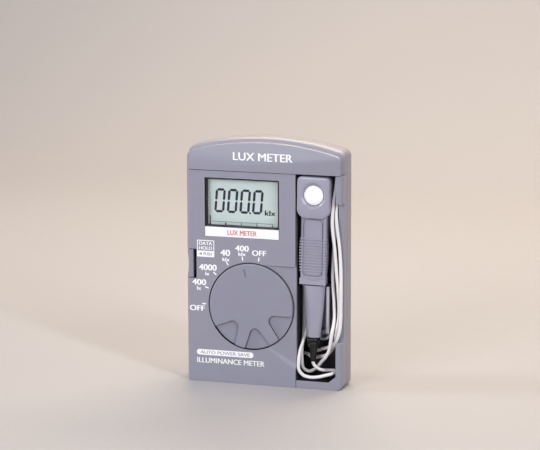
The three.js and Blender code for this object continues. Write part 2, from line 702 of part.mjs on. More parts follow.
function barrel() {
  const { top, bottom, topRadius, bottomRadius, flatten } = BARREL;
  const shell = shaftOf(
    [
      [1.3, bottom],
      [bottomRadius - 0.3, bottom],
      [bottomRadius, bottom + 0.3],
      [(topRadius + bottomRadius) / 2 + 0.25, (top + bottom) / 2],
      [topRadius, top - 1],
      [topRadius, top - GAP],
      [1.3, top - GAP],
      [1.3, bottom],
    ],
    40,
  );
  return solid(standing(shell, flatten));
}

// Turns a lathe from its own axis to +Z, flattens it front to back, and sets it on the barrel's axis.
function standing(geometry, flatten = 1) {
  return geometry.rotateX(Math.PI / 2).scale(1, flatten, 1).translate(0, BARREL_Y, 0);
}

function strainRelief() {
  const top = BARREL.bottom - GAP;
  const body = shaftOf(
    [
      [0, RELIEF_END],
      [1.4, RELIEF_END],
      [1.6, RELIEF_END + 0.4],
      [2.2, top - 3],
      [3.0, top - 2.7],
      [3.0, top],
      [0, top],
    ],
    24,
  );
  return solid(standing(body));
}

function diffuser() {
  const dome = shaftOf(
    [
      [0, 0],
      [2.4, 0.06],
      [3.9, 0.3],
      [DIFFUSER.radius, 0.8],
      [DIFFUSER.radius, 2.0],
      [0, 2.0],
    ],
    40,
  );
  return solid(dome.translate(0, HEAD.front + 0.25, DIFFUSER.z));
}

const filterDisc = () => rod(0, DIFFUSER.z, 4.2, HEAD.front + 2.5, HEAD.front + 3.3, 32);
const photodiode = () => box(-2.6, 2.6, HEAD.front + 3.6, HEAD.front + 5.2, DIFFUSER.z - 2.6, DIFFUSER.z + 2.6);
const probeBoard = () => box(-4, 4, HEAD.front + 5.5, HEAD.front + 6.3, -3.5, 6);

// Cable. From the strain relief it turns at the bay's right foot, runs up behind the probe and comes
// down at the right, three times over, and goes back into the case through the grommet.
const CABLE_ROUTE = [
  // from the relief down to the right foot, and back along the bottom
  [22.8, -3.5, 11.7], [23.3, -3.4, 10.4], [25.4, -3.0, 8.6], [28.0, -1.8, 7.8], [30.8, -0.8, 7.8],
  [32.0, -1.0, 7.9], [33.1, -1.7, 7.9], [33.8, -2.8, 7.9], [34.0, -4.0, 7.9], [33.8, -5.2, 7.8],
  [33.1, -6.3, 7.6], [32.0, -7.0, 7.3], [30.6, -7.2, 6.9], [26.4, -7.2, 5.7], [22.4, -7.2, 5.3],
  [18.9, -7.2, 6.2], [16.9, -7.3, 8.8], [16.8, -7.0, 12.5], [16.9, -5.6, 17.0], [17.6, -3.0, 21.0],
  // up behind the barrel, over, and down at the right
  [18.4, -0.4, 25.5], [18.9, 1.0, 32.0], [18.9, 1.2, 50.0], [18.9, 1.5, 70.0], [18.9, 1.7, 88.0],
  [20.6, 1.9, 96.0], [25.0, 1.9, 100.6], [29.6, 1.9, 99.6], [32.3, 1.9, 94.0], [32.3, 1.8, 82.0],
  [31.8, 1.0, 70.0], [31.8, -1.2, 60.0], [32.2, -2.8, 51.0], [33.0, -3.8, 42.5], [33.4, -4.6, 33.0],
  [32.7, -6.3, 26.5], [31.2, -5.6, 18.4], [29.2, -4.6, 14.8], [26.8, -2.7, 12.2], [24.5, -1.0, 9.6],
  [22.4, -0.5, 7.5], [20.0, -0.4, 6.5], [18.8, -0.5, 6.7], [17.7, -0.8, 7.4], [17.0, -1.1, 8.5],
  [16.8, -1.5, 9.8], [16.8, -2.1, 14.5], [16.9, -1.6, 19.0], [16.9, 0.4, 23.4],
  // the second turn
  [16.8, 1.8, 31.0], [16.8, 2.0, 50.0], [16.8, 2.0, 75.0], [16.9, 2.2, 92.0], [19.0, 2.6, 99.6],
  [24.0, 2.4, 104.0], [29.6, 0.7, 104.0], [33.2, -1.2, 101.2], [33.7, -3.2, 96.0], [33.0, -5.1, 87.5],
  [32.7, -5.9, 78.5], [33.8, -5.4, 66.0], [34.7, -5.4, 55.0], [35.6, -5.2, 44.5], [35.8, -5.0, 35.0],
  [35.2, -5.5, 30.0], [34.0, -4.3, 25.2], [33.0, -1.9, 21.5], [29.4, 0.4, 18.6], [25.8, 1.6, 17.2],
  [22.8, 2.7, 16.0], [20.4, 3.4, 16.4], [18.9, 3.7, 18.4], [18.4, 3.6, 21.6], [18.4, 3.5, 27.0],
  // the third turn
  [18.4, 3.4, 40.0], [18.4, 3.5, 60.0], [18.3, 3.8, 80.0], [18.2, 4.2, 94.0], [20.8, 4.5, 102.0],
  [26.0, 4.0, 106.4], [31.2, 2.4, 105.6], [34.1, 1.2, 101.0], [34.2, -0.8, 95.0], [34.2, -2.4, 89.0],
  [34.0, -3.9, 84.5], [34.7, -5.3, 78.5], [35.9, -5.0, 68.0], [36.8, -5.6, 58.0], [37.1, -6.2, 48.0],
  [37.1, -6.5, 40.0], [37.0, -6.4, 33.0], [36.4, -6.4, 27.8], [34.0, -4.7, 21.8], [31.4, -2.3, 17.6],
  [28.8, -0.8, 15.2], [25.8, 0.3, 13.8], [22.8, 0.9, 13.1], [20.4, 1.4, 13.3], [18.6, 2.0, 14.1],
  [17.3, 2.2, 14.6],
];

function sensorCable() {
  const points = CABLE_ROUTE.map((p) => new THREE.Vector3(...p));
  const curve = new THREE.CatmullRomCurve3(points);
  const section = new THREE.Shape();
  section.absarc(0, 0, CABLE_DIAMETER / 2, 0, 2 * Math.PI);
  const tube = new THREE.ExtrudeGeometry(section, {
    steps: CABLE_STEPS,
    extrudePath: curve,
    curveSegments: 4,
  });
  return solid(tube);
}

// Assembly

add("front_case", frontCase(), caseGrey);
add("header_panel", headerPanel(), caseGrey);
add("bay_tray", bayTray(), caseGrey);
add("rear_case", rearCase(), rearGrey);
add("probe_cradle", probeCradle(), caseGrey);
add("cable_grommet", grommet(), rubber);
add("label_strip", labelStrip(), white);
add("window_lens", windowLens(), clear);
add("lcd_holder", lcdHolder(), black);
add("lcd_glass", lcdGlass(), lcdGreen);
add("lcd_reflector", lcdReflector(), steel);
add("zebra_strip", zebraStrip(), rubber);
add("main_board", mainBoard(), boardGreen);
add("meter_chip", meterChip(), black);
add("crystal", crystal(), steel);
add("capacitor_1", capacitor(-14, 70), black);
add("capacitor_2", capacitor(-7, 70), black);
add("calibration_trimmer", trimmer(), white);
add("hold_switch", holdSwitch(), black);
add("detent_ring", detentRing(), acetal);
add("cell_1", cell(CELL_XS[0]), steel);
add("cell_2", cell(CELL_XS[1]), steel);
add("cell_contact_1", springContact(CELL_XS[0]), brass);
add("cell_contact_2", springContact(CELL_XS[1]), brass);
add("cell_link", cellLink(), brass);
add("battery_cover", batteryCover(), rearGrey);
CASE_SCREWS.forEach(([x, z], i) => {
  add(`case_screw_${i + 1}`, screw(x, z, SPLIT - 3.6, BACK - 2.2, { radius: 2, height: 1 }), steel);
});
BOARD_SCREWS.forEach(([x, z], i) => {
  add(`board_screw_${i + 1}`, screw(x, z, -4.2, BOARD_BACK + 1.3, { shank: 0.6, height: 1.1 }), steel);
});
add("hold_key", holdKey(), keyGrey);
add("hold_plunger", holdPlunger(), black);
add("range_dial", rangeDial(), caseGrey);
add("contact_rotor", contactRotor(), acetal);
add("dial_clip", dialClip(), steel);
[-1, 1].forEach((side, i) => {
  add(`detent_spring_${i + 1}`, detentSpring(side), steel);
  add(`detent_ball_${i + 1}`, ball(DIAL.x + side * BALL.at, BALL.y, DIAL.z, BALL.radius), steel);
});
[60, 150, 240].forEach((angle, i) => {
  add(`wiper_${i + 1}`, wiper(THREE.MathUtils.degToRad(angle)), brass);
});
add("probe_front_shell", probeFrontShell(), caseGrey, probe);
add("probe_back_shell", probeBackShell(), caseGrey, probe);
add("grip_pad", gripPad(), caseGrey, probe);
add("probe_barrel", barrel(), caseGrey, probe);
add("strain_relief", strainRelief(), black, probe);
add("diffuser", diffuser(), white, probe);
add("filter_disc", filterDisc(), filterGreen, probe);
add("photodiode", photodiode(), silicon, probe);
add("probe_board", probeBoard(), boardGreen, probe);
const probeScrew = screw(0, PROBE_SCREW_Z, PROBE_SPLIT - 1.8, HEAD.back - 0.3, { shank: 0.8 });
add("probe_screw", probeScrew, steel, probe);
add("sensor_cable", sensorCable(), cableGrey);

export default meter;
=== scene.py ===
"""A pocket light meter with a light probe stowed in a bay on its right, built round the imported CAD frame.

Shapes are drawn in millimetres and scaled to metres when they are placed.
"""

import math

import bmesh
import bpy
import numpy as np
from mathutils import Matrix, Vector


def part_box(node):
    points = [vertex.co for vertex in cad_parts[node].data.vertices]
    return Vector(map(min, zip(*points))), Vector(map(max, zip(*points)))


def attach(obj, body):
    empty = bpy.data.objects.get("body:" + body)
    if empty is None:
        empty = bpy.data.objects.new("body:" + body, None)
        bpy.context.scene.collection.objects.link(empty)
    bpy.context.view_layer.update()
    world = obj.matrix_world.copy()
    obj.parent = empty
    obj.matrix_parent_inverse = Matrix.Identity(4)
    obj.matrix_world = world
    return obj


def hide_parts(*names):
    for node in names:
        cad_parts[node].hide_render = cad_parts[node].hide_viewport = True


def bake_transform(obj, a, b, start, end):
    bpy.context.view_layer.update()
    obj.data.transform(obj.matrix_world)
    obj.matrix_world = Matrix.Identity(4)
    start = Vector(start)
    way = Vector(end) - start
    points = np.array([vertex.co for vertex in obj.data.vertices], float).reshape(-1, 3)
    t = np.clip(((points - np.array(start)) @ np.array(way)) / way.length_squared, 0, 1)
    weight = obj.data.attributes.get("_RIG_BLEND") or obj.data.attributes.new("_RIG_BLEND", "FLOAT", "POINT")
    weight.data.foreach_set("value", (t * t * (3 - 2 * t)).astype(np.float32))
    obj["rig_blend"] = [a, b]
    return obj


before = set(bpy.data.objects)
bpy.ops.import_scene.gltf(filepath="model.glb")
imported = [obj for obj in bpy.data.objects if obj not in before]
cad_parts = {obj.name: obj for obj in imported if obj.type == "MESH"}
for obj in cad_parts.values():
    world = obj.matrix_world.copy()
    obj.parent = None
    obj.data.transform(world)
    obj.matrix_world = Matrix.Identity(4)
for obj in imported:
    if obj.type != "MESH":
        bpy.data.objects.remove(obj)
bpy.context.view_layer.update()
scene = bpy.context.scene
MM = 0.001

# Places on the case and the probe, as in the CAD
FACE_Y = -8.5
HEADER_Y = -9.0
HEADER_SETBACK = 0.04
DIAL = Vector((-6.2, -8.9, 37.5))
DIAL_RADIUS = 20.4
PROBE_ORIGIN = Vector((24.2, 0, 90.6))
PROBE_LEAN = math.radians(1)
PROBE_AXIS_Y = -3.5


# Camera

def make_camera():
    azimuth = math.radians(17.757)
    elevation = math.radians(10.528)
    roll = math.radians(-0.156)
    distance = 1166.5
    target = Vector((3.52, -9.0, 77.0))
    level = math.cos(elevation)
    back = Vector((math.sin(azimuth) * level, -math.cos(azimuth) * level, math.sin(elevation)))
    right = Vector((math.cos(azimuth), math.sin(azimuth), 0))
    up = back.cross(right)
    across = right * math.cos(roll) + up * math.sin(roll)
    upright = up * math.cos(roll) - right * math.sin(roll)
    data = bpy.data.cameras.new("camera")
    data.sensor_width = 36
    data.lens = 167.6
    data.clip_start = 0.05
    data.clip_end = 20
    camera = bpy.data.objects.new("camera", data)
    scene.collection.objects.link(camera)
    pose = Matrix((across, upright, back)).transposed().to_4x4()
    pose.translation = (target + back * distance) * MM
    camera.matrix_world = pose
    scene.camera = camera


make_camera()


# Materials

def node_of(tree, kind, **values):
    node = tree.nodes.new(kind)
    for key, value in values.items():
        if key in node.inputs:
            node.inputs[key].default_value = value
        else:
            setattr(node, key, value)
    return node


def surface(name, color, roughness, grain=0.25, bump=0.12, mottle=0.03, spread=0.06, patch=6.0, **shader):
    """A procedural surface.

    grain is the size in millimetres of the moulded texture, and patch that of the colour's drift.
    """
    mat = bpy.data.materials.new(name)
    mat.use_nodes = True
    tree = mat.node_tree
    tree.nodes.clear()
    out = tree.nodes.new("ShaderNodeOutputMaterial")
    bsdf = tree.nodes.new("ShaderNodeBsdfPrincipled")
    tree.links.new(bsdf.outputs["BSDF"], out.inputs["Surface"])
    place = tree.nodes.new("ShaderNodeTexCoord")
    fine = node_of(tree, "ShaderNodeTexNoise", Scale=1 / (grain * MM), Detail=3.0, Roughness=0.6)
    broad = node_of(tree, "ShaderNodeTexNoise", Scale=1 / (patch * MM), Detail=4.0, Roughness=0.55)
    for noise in (fine, broad):
        tree.links.new(place.outputs["Object"], noise.inputs["Vector"])
    tint = tree.nodes.new("ShaderNodeMix")
    tint.data_type = "RGBA"
    tint.inputs["A"].default_value = [c * (1 - mottle) for c in color] + [1]
    tint.inputs["B"].default_value = [min(1, c * (1 + mottle)) for c in color] + [1]
    tree.links.new(broad.outputs["Fac"], tint.inputs["Factor"])
    tree.links.new(tint.outputs["Result"], bsdf.inputs["Base Color"])
    rough = node_of(tree, "ShaderNodeMapRange")
    rough.inputs["From Min"].default_value = 0.3
    rough.inputs["From Max"].default_value = 0.7
    rough.inputs["To Min"].default_value = max(0.02, roughness - spread)
    rough.inputs["To Max"].default_value = min(1, roughness + spread)
    tree.links.new(fine.outputs["Fac"], rough.inputs["Value"])
    tree.links.new(rough.outputs["Result"], bsdf.inputs["Roughness"])
    if bump:
        relief = node_of(tree, "ShaderNodeBump", Strength=bump, Distance=grain * MM * 0.5)
        tree.links.new(fine.outputs["Fac"], relief.inputs["Height"])
        tree.links.new(relief.outputs["Normal"], bsdf.inputs["Normal"])
    for key, value in shader.items():
        bsdf.inputs[key.replace("_", " ")].default_value = value
    return mat


CASE = surface("case_plastic", (0.282, 0.279, 0.342), 0.4, grain=0.22, bump=0.25)
# The rear shell and battery door are the case's grey with a painted warm tint, which stands in for warm light
# reflected off their sides.
REAR_WARM_TINT = surface("rear_painted_warm_tint", (0.28, 0.275, 0.32), 0.45, grain=0.22, bump=0.25)
DIAL_GREY = surface("dial_plastic", (0.265, 0.263, 0.328), 0.42, grain=0.25, bump=0.15)
KEY_GREY = surface("key_plastic", (0.27, 0.266, 0.328), 0.45)
PROBE_GREY = surface("probe_plastic", (0.335, 0.33, 0.41), 0.26, grain=0.25, bump=0.15)
GRIP_GREY = surface("grip_rubber", (0.31, 0.305, 0.38), 0.5, grain=0.12, bump=0.3)
# Near black painted where shade falls: inside the bay, behind the case's openings and on the walls of the
# dial's pockets. It is painted shade.
PAINTED_SHADE = surface("painted_shade_black", (0.008, 0.008, 0.01), 0.6)
# The cradle is the case's grey painted lighter: painted light for the light that reaches into the bay.
CRADLE_PAINTED_LIGHT = surface("cradle_painted_light", (0.48, 0.48, 0.53), 0.35, grain=0.22, bump=0.15)
RUBBER = surface("gloss_rubber", (0.006, 0.006, 0.007), 0.18, grain=0.4, bump=0.08, spread=0.08)
CABLE = surface("cable_sheath", (0.84, 0.81, 0.81), 0.38, grain=0.15, bump=0.1, mottle=0.04)
PRINT_WHITE = surface("print_white", (0.97, 0.97, 0.98), 0.5, bump=0, mottle=0.01)
PRINT_RED = surface("print_red", (0.62, 0.05, 0.06), 0.5, bump=0)
STRIP = surface("printed_film", (0.95, 0.93, 0.93), 0.3, bump=0.02, mottle=0.01)
OPAL = surface("opal_diffuser", (0.99, 0.99, 1.0), 0.35, bump=0.02, mottle=0.005, Subsurface_Weight=0.25,
               Subsurface_Radius=(0.002, 0.002, 0.002), Subsurface_Scale=0.5)
LCD = surface("lcd_polariser", (0.74, 0.87, 0.83), 0.32, grain=0.1, bump=0.02, mottle=0.05, patch=14)
LCD_INK = surface("lcd_segment", (0.012, 0.022, 0.035), 0.4, bump=0)
LCD_GHOST = surface("lcd_idle_segment", (0.80, 0.86, 0.89), 0.4, bump=0)
WINDOW_INK = surface("window_frame_ink", (0.006, 0.006, 0.007), 0.3, bump=0)
LENS = surface("clear_window", (1, 1, 1), 0.03, bump=0, spread=0.01, Transmission_Weight=1.0, IOR=1.12)
BLACK = surface("black_moulding", (0.02, 0.02, 0.022), 0.45)
BOARD = surface("solder_mask", (0.02, 0.12, 0.055), 0.35, grain=0.6, bump=0.2, mottle=0.12, patch=2)
ACETAL = surface("acetal", (0.74, 0.72, 0.64), 0.45)
STEEL = surface("plated_steel", (0.62, 0.63, 0.65), 0.28, grain=0.3, bump=0.1, Metallic=1.0)
BRASS = surface("spring_brass", (0.63, 0.44, 0.16), 0.3, grain=0.3, bump=0.1, Metallic=1.0)
FILTER = surface("colour_filter", (0.25, 0.48, 0.32), 0.1, bump=0, Transmission_Weight=0.6)
SILICON = surface("silicon_cell", (0.02, 0.03, 0.06), 0.15, bump=0, Metallic=0.4)


# Shapes

def link(name, mesh):
    piece = bpy.data.objects.new(name, mesh)
    scene.collection.objects.link(piece)
    return piece


def apply_modifiers(piece):
    graph = bpy.context.evaluated_depsgraph_get()
    mesh = bpy.data.meshes.new_from_object(piece.evaluated_get(graph), depsgraph=graph)
    piece.modifiers.clear()
    piece.data = mesh


def weigh_edges(piece, angle, keep_sharp):
    """Marks the hard edges to round, and as sharp those whose middle passes the test."""
    work = bmesh.new()
    work.from_mesh(piece.data)
    weight = work.edges.layers.float.new("bevel_weight_edge")
    for edge in work.edges:
        hard = edge.is_manifold and edge.calc_face_angle() > math.radians(angle)
        sharp = hard and keep_sharp((edge.verts[0].co + edge.verts[1].co) / 2)
        edge[weight] = float(hard and not sharp)
        edge.smooth = not sharp
    work.to_mesh(piece.data)
    work.free()


def round_edges(piece, width, segments=3, angle=28, keep_sharp=None):
    bevel = piece.modifiers.new("bevel", "BEVEL")
    bevel.width = width
    bevel.segments = segments
    bevel.limit_method = "WEIGHT" if keep_sharp else "ANGLE"
    bevel.angle_limit = math.radians(angle)
    if keep_sharp:
        weigh_edges(piece, angle, keep_sharp)
    bevel.use_clamp_overlap = False
    bevel.harden_normals = True
    apply_modifiers(piece)


def place(piece, mat, body, slot, replaces=()):
    """Scales a piece drawn in millimetres to metres, gives it its material and sets it on its body."""
    piece.data.transform(Matrix.Scale(MM, 4))
    piece.data.materials.append(mat)
    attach(piece, body)
    if replaces:
        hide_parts(*replaces)
    return piece


def cad_copy(node, name):
    """The CAD node's shape in millimetres, with its triangles merged into whole flat faces."""
    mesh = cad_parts[node].data.copy()
    mesh.materials.clear()
    mesh.transform(Matrix.Scale(1 / MM, 4))
    work = bmesh.new()
    work.from_mesh(mesh)
    bmesh.ops.remove_doubles(work, verts=work.verts, dist=0.003)
    bmesh.ops.dissolve_limit(work, angle_limit=math.radians(1), verts=work.verts, edges=work.edges)
    for face in work.faces:
        face.smooth = True
    work.to_mesh(mesh)
    work.free()
    for attribute in [a.name for a in mesh.attributes if a.name.startswith("custom_normal")]:
        mesh.attributes.remove(mesh.attributes[attribute])
    return link(name, mesh)


def refine(node, name, mat, body, slot, width=0.2, keep_sharp=None):
    """A CAD shape with its hard edges rounded as a moulding's are."""
    piece = cad_copy(node, name)
    round_edges(piece, width, keep_sharp=keep_sharp)
    return place(piece, mat, body, slot, [node])


# Cable

CABLE_DIAMETER = 1.6
CABLE_ROUTE = [
    (22.83, -3.5, 13.2), (22.8, -3.5, 11.7), (23.3, -3.4, 10.4), (25.4, -3.0, 8.6), (28.0, -1.8, 7.8),
    (30.8, -0.8, 7.8), (32.0, -1.0, 7.9), (33.1, -1.7, 7.9), (33.8, -2.8, 7.9), (34.0, -4.0, 7.9),
    (33.8, -5.2, 7.8), (33.1, -6.3, 7.6), (32.0, -7.0, 7.3), (30.6, -7.2, 6.9), (26.4, -7.2, 5.7),
    (22.4, -7.2, 5.3), (18.9, -7.2, 6.2), (16.9, -7.3, 8.8), (16.8, -7.0, 12.5), (16.9, -5.6, 17.0),
    (17.6, -3.0, 21.0), (18.4, -0.4, 25.5), (18.9, 1.0, 32.0), (18.9, 1.2, 50.0), (18.9, 1.5, 70.0),
    (18.9, 1.7, 88.0), (20.6, 1.9, 96.0), (25.0, 1.9, 100.6), (29.6, 1.9, 99.6), (32.3, 1.9, 94.0),
    (32.3, 1.8, 82.0), (31.8, 1.0, 70.0), (31.8, -1.2, 60.0), (32.2, -2.8, 51.0), (33.0, -3.8, 42.5),
    (33.4, -4.6, 33.0), (32.7, -6.3, 26.5), (31.2, -5.6, 18.4), (29.2, -4.6, 14.8), (26.8, -2.7, 12.2),
    (24.5, -1.0, 9.6), (22.4, -0.5, 7.5), (20.0, -0.4, 6.5), (18.8, -0.5, 6.7), (17.7, -0.8, 7.4),
    (17.0, -1.1, 8.5), (16.8, -1.5, 9.8), (16.8, -2.1, 14.5), (16.9, -1.6, 19.0), (16.9, 0.4, 23.4),
    (16.8, 1.8, 31.0), (16.8, 2.0, 50.0), (16.8, 2.0, 75.0), (16.9, 2.2, 92.0), (19.0, 2.6, 99.6),
    (24.0, 2.4, 104.0), (29.6, 0.7, 104.0), (33.2, -1.2, 101.2), (33.7, -3.2, 96.0),
    (33.0, -5.1, 87.5), (32.7, -5.9, 78.5), (33.8, -5.4, 66.0), (34.7, -5.4, 55.0), (35.6, -5.2, 44.5),
    (35.8, -5.0, 35.0), (35.2, -5.5, 30.0), (34.0, -4.3, 25.2), (33.0, -1.9, 21.5), (29.4, 0.4, 18.6),
    (25.8, 1.6, 17.2), (22.8, 2.7, 16.0), (20.4, 3.4, 16.4), (18.9, 3.7, 18.4), (18.4, 3.6, 21.6),
    (18.4, 3.5, 27.0), (18.4, 3.4, 40.0), (18.4, 3.5, 60.0), (18.3, 3.8, 80.0), (18.2, 4.2, 94.0),
    (20.8, 4.5, 102.0), (26.0, 4.0, 106.4), (31.2, 2.4, 105.6), (34.1, 1.2, 101.0), (34.2, -0.8, 95.0),
    (34.2, -2.4, 89.0), (34.0, -3.9, 84.5), (34.7, -5.3, 78.5), (35.9, -5.0, 68.0), (36.8, -5.6, 58.0),
    (37.1, -6.2, 48.0), (37.1, -6.5, 40.0), (37.0, -6.4, 33.0), (36.4, -6.4, 27.8), (34.0, -4.7, 21.8),
    (31.4, -2.3, 17.6), (28.8, -0.8, 15.2), (25.8, 0.3, 13.8), (22.8, 0.9, 13.1), (20.4, 1.4, 13.3),
    (18.6, 2.0, 14.1), (17.3, 2.2, 14.6), (15.6, 2.2, 14.6),
]


def smooth_route(points, step=0.8):
    """A centripetal Catmull-Rom curve through the points, with a point about every step millimetres."""
    points = [Vector(p) for p in points]
    ends = [points[0] * 2 - points[1], *points, points[-1] * 2 - points[-2]]
    route = []
    for before, a, b, after in zip(ends, ends[1:], ends[2:], ends[3:]):
        t1 = (a - before).length ** 0.5
        t2 = t1 + (b - a).length ** 0.5
        t3 = t2 + (after - b).length ** 0.5
        count = max(2, round((b - a).length / step))
        for i in range(count):
            t = t1 + (t2 - t1) * i / count
            p1 = before.lerp(a, t / t1)
            p2 = a.lerp(b, (t - t1) / (t2 - t1))
            p3 = b.lerp(after, (t - t2) / (t3 - t2))
            q1 = p1.lerp(p2, t / t2)
            q2 = p2.lerp(p3, (t - t1) / (t3 - t1))
            route.append(q1.lerp(q2, (t - t1) / (t2 - t1)))
    route.append(points[-1])
    return route


def tube(name, route, radius, sides=12):
    """A closed round tube along a route, turned as little as it can be from ring to ring."""
    work = bmesh.new()
    side = None
    rings = []
    for i, point in enumerate(route):
        ahead = (route[min(i + 1, len(route) - 1)] - route[max(i - 1, 0)]).normalized()
        if side is None:
            side = ahead.orthogonal().normalized()
        side = (side - ahead * side.dot(ahead)).normalized()
        other = ahead.cross(side)
        turn = [2 * math.pi * k / sides for k in range(sides)]
        spokes = [side * math.cos(t) + other * math.sin(t) for t in turn]
        rings.append([work.verts.new(point + spoke * radius) for spoke in spokes])
    for a, b in zip(rings, rings[1:]):
        for k in range(sides):
            work.faces.new((a[k], a[(k + 1) % sides], b[(k + 1) % sides], b[k])).smooth = True
    work.faces.new(rings[0][::-1])
    work.faces.new(rings[-1])
    mesh = bpy.data.meshes.new(name)
    bmesh.ops.recalc_face_normals(work, faces=work.faces)
    work.to_mesh(mesh)
    work.free()
    return link(name, mesh)


def make_cable():
    route = smooth_route(CABLE_ROUTE)
    sides = 12
    piece = tube("cable", route, CABLE_DIAMETER / 2, sides)
    piece.data.transform(Matrix.Scale(MM, 4))
    piece.data.materials.append(CABLE)
    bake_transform(piece, "case_body", "probe_body", start=(0.03, 0, 0.004), end=(0.02, 0, 0.02))
    # The first stretch goes with the probe. Other strands lie at the same height,
    # so distance along the cable decides.
    follow = 120
    travelled = 0.0
    weights = []
    for i, point in enumerate(route):
        if i:
            travelled += (point - route[i - 1]).length
        share = max(0.0, 1 - travelled / follow)
        weights += [share * share * (3 - 2 * share)] * sides
    piece.data.attributes["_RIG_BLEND"].data.foreach_set("value", np.array(weights, np.float32))
    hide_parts("sensor_cable")


make_cable()


# Drawing in millimetres

def joined(name, pieces):
    """One piece from several that were drawn in the same frame."""
    work = bmesh.new()
    for piece in pieces:
        work.from_mesh(piece.data)
        bpy.data.objects.remove(piece)
    mesh = bpy.data.meshes.new(name)
    work.to_mesh(mesh)
    work.free()
    return link(name, mesh)


def plate(name, outline, y0, y1):
    """A flat piece with an outline of (x, z) points, from y0 back to y1."""
    work = bmesh.new()
    front = [work.verts.new((x, y0, z)) for x, z in outline]
    back = [work.verts.new((x, y1, z)) for x, z in outline]
    work.faces.new(front)
    work.faces.new(back[::-1])
    for i in range(len(front)):
        j = (i + 1) % len(front)
        work.faces.new((front[i], back[i], back[j], front[j]))
    bmesh.ops.recalc_face_normals(work, faces=work.faces)
    mesh = bpy.data.meshes.new(name)
    work.to_mesh(mesh)
    work.free()
    return link(name, mesh)


def rounded(x0, x1, z0, z1, radius=0.0):
    """The outline of a rectangle with round corners."""
    if radius == 0:
        return [(x0, z0), (x1, z0), (x1, z1), (x0, z1)]
    steps = 6
    left, right = x0 + radius, x1 - radius
    low, high = z0 + radius, z1 - radius
    corners = [(right, low), (right, high), (left, high), (left, low)]
    points = []
    for k, (x, z) in enumerate(corners):
        for i in range(steps + 1):
            turn = math.pi / 2 * (k - 1 + i / steps)
            points.append((x + radius * math.cos(turn), z + radius * math.sin(turn)))
    return points


def bar(name, x0, x1, z0, z1, y0, y1, radius=0.0):
    return plate(name, rounded(x0, x1, z0, z1, radius), y0, y1)


def border(name, outer, inner, y0, y1):
    """A flat frame between two rectangles, each (x0, x1, z0, z1)."""
    ox0, ox1, oz0, oz1 = outer
    ix0, ix1, iz0, iz1 = inner
    return joined(name, [
        bar("low", ox0, ox1, oz0, iz0, y0, y1),
        bar("high", ox0, ox1, iz1, oz1, y0, y1),
        bar("left", ox0, ix0, iz0, iz1, y0, y1),
        bar("right", ix1, ox1, iz0, iz1, y0, y1),
    ])


def lettering(text, x0, x1, z0, z1, y, bold=0.02):
    """Text that fills a rectangle on the plane at y, facing the front.

    Two copies, moved by bold to the left and to the right in the font's units, make heavy strokes. The
    second is thinner than the first, so that their fronts never lie in one plane.
    """
    curve = bpy.data.curves.new("text", "FONT")
    curve.body = text
    curve.extrude = 0.5
    curve.resolution_u = 4
    holder = bpy.data.objects.new("text", curve)
    scene.collection.objects.link(holder)
    flat = bpy.data.meshes.new_from_object(holder.evaluated_get(bpy.context.evaluated_depsgraph_get()))
    bpy.data.objects.remove(holder)
    across = [v.co.x for v in flat.vertices]
    upward = [v.co.y for v in flat.vertices]
    left, low = min(across) - bold, min(upward)
    wide = (x1 - x0) / (max(across) + bold - left)
    tall = (z1 - z0) / (max(upward) - low)
    thick = 0.03
    copies = []
    for shift, depth_scale in ((-bold, thick), (bold, 0.8 * thick)):
        mesh = flat.copy()
        for vertex in mesh.vertices:
            x, up, depth = vertex.co
            along = x0 + (x + shift - left) * wide
            above = z0 + (up - low) * tall
            vertex.co = (along, y - (depth + 0.5) * depth_scale, above)
        copies.append(link("copy", mesh))
    return joined("text", copies)


def lathe(name, profile, sides=32):
    """A closed solid turned about the Z axis from (radius, height) points that start and end on the axis."""
    work = bmesh.new()
    rings = []
    for radius, height in profile:
        if radius == 0:
            rings.append([work.verts.new((0, 0, height))])
            continue
        turns = [2 * math.pi * k / sides for k in range(sides)]
        rings.append([work.verts.new((radius * math.cos(t), radius * math.sin(t), height)) for t in turns])
    for a, b in zip(rings, rings[1:]):
        for k in range(sides):
            n = (k + 1) % sides
            corners = [a[0]] if len(a) == 1 else [a[k], a[n]]
            corners += [b[0]] if len(b) == 1 else [b[n], b[k]]
            work.faces.new(corners).smooth = True
    bmesh.ops.recalc_face_normals(work, faces=work.faces)
    mesh = bpy.data.meshes.new(name)
    work.to_mesh(mesh)
    work.free()
    return link(name, mesh)


def in_probe(piece):
    """Moves a piece drawn from the middle of the probe's head to where the leaning probe is."""
    piece.data.transform(Matrix.Translation(PROBE_ORIGIN) @ Matrix.Rotation(PROBE_LEAN, 4, "Y"))
    return piece


def paint(piece, mat, chosen):
    """Gives a second material to the faces whose middle, in millimetres, and normal pass the test."""
    piece.data.materials.append(mat)
    slot = len(piece.data.materials) - 1
    for face in piece.data.polygons:
        if chosen(face.center / MM, face.normal):
            face.material_index = slot


# Case

BAY = {"left": 15.75, "right": 35.15, "bottom": 3.55, "top": 107.65}
WINDOW = (-28.7, 7.7, 74.7, 97.8)
KEY_SLOT = (-34.6, -32.9, 49, 64)
INTERIOR = {"half_width": 35, "low": 2, "high": 103, "depth": 1.95}
SKIN = 0.3

front = refine("front_case", "case_front", CASE, "case_body", "case")
header = refine("header_panel", "header_plate", CASE, "case_body", "case")
# Set back so that its lettering stays inside the CAD's box
header.data.transform(Matrix.Translation((0, HEADER_SETBACK * MM, 0)))
tray = refine("bay_tray", "bay_shell", CASE, "case_body", "case")
refine("rear_case", "case_rear", REAR_WARM_TINT, "case_body", "rear", keep_sharp=lambda middle: middle.y > 8.9)
refine("probe_cradle", "cradle", CRADLE_PAINTED_LIGHT, "case_body", "case")
refine("battery_cover", "battery_door", REAR_WARM_TINT, "cover_body", "rear", keep_sharp=lambda middle: middle.y > 8.85)
refine("hold_key", "hold_key_cap", KEY_GREY, "hold_body", "key")


